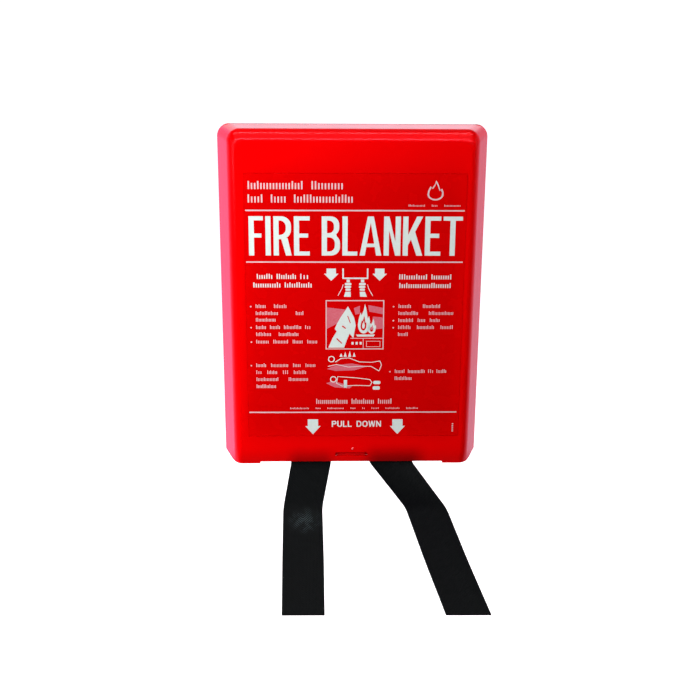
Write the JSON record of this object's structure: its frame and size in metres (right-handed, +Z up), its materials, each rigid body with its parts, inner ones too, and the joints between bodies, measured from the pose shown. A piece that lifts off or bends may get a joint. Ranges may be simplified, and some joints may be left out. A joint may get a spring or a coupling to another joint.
{
  "type": "fire blanket",
  "caption": "Folded fire blanket in a rigid wall case with a hinged front cover and two webbing pull tapes hanging from its open mouth.",
  "frame": {"origin": "on the wall plane, at the rear face of the tray, midway between the hanging points of its two keyholes", "axes": "+X to the right seen from the front, +Y into the wall, +Z up; the blanket comes out along -Z"},
  "size_m": [0.2173, 0.1122, 0.3819],
  "materials": {
    "cover_plastic": "glossy moulded red plastic",
    "tray_plastic": "satin moulded red plastic",
    "label_vinyl": "smooth red vinyl printed in pale white",
    "glass_cloth": "plain-woven glass fibre, off-white",
    "glass_thread": "twisted glass-fibre thread",
    "webbing": "woven black webbing, slight sheen",
    "tape_thread": "black polyester thread"
  },
  "bodies": {
    "case": {"rear_tray": "tray_plastic"},
    "cover": {"front_cover": "cover_plastic", "front_label": "label_vinyl"},
    "latch": {"latch_tongue": "tray_plastic"},
    "pack": {"folded_blanket": "glass_cloth", "hem_stitching": "glass_thread", "left_tape_root": "webbing", "left_tape_stitching": "tape_thread", "right_tape_root": "webbing", "right_tape_stitching": "tape_thread"},
    "left_tape_upper": {"left_tape_upper": "webbing"},
    "left_tape_middle": {"left_tape_middle": "webbing"},
    "left_tape_lower": {"left_tape_lower": "webbing"},
    "right_tape_upper": {"right_tape_upper": "webbing"},
    "right_tape_middle": {"right_tape_middle": "webbing"},
    "right_tape_lower": {"right_tape_lower": "webbing"}
  },
  "joints": [
    {"name": "cover_hinge", "type": "hinge", "parent": "case", "child": "cover", "pos_m": [0, -0.0053, 0.035], "axis": [-1, 0, 0], "range_deg": [0, 85]},
    {"name": "latch_flex", "type": "hinge", "parent": "case", "child": "latch", "pos_m": [0, -0.02785, -0.22372], "axis": [1, 0, 0], "range_deg": [0, 15], "stiffness_Nm_per_rad": 0.06},
    {"name": "pack_pull", "type": "slide", "parent": "case", "child": "pack", "axis": [0, 0, -1], "range_m": [0, 0.27]},
    {"name": "left_tape_mouth", "type": "hinge", "parent": "pack", "child": "left_tape_upper", "pos_m": [-0.0333, -0.02535, -0.23767], "axis": [-1, 0, 0], "range_deg": [-20, 45]},
    {"name": "left_tape_bend", "type": "hinge", "parent": "left_tape_upper", "child": "left_tape_middle", "pos_m": [-0.0407, -0.04, -0.27452], "axis": [-0.9998, 0, -0.0216], "range_deg": [-40, 45]},
    {"name": "left_tape_fold", "type": "hinge", "parent": "left_tape_middle", "child": "left_tape_lower", "pos_m": [-0.0402, -0.071, -0.30787], "axis": [-1, 0, 0], "range_deg": [-45, 45]},
    {"name": "right_tape_mouth", "type": "hinge", "parent": "pack", "child": "right_tape_upper", "pos_m": [0.03205, -0.02535, -0.23767], "axis": [-1, 0, 0], "range_deg": [-20, 45]},
    {"name": "right_tape_bend", "type": "hinge", "parent": "right_tape_upper", "child": "right_tape_middle", "pos_m": [0.06265, -0.043, -0.27407], "axis": [-0.8584, 0.4725, -0.1995], "range_deg": [-40, 45]},
    {"name": "right_tape_fold", "type": "hinge", "parent": "right_tape_middle", "child": "right_tape_lower", "pos_m": [0.07775, -0.0735, -0.30787], "axis": [-0.8901, 0.4109, -0.1972], "range_deg": [-45, 45]}
  ]
}
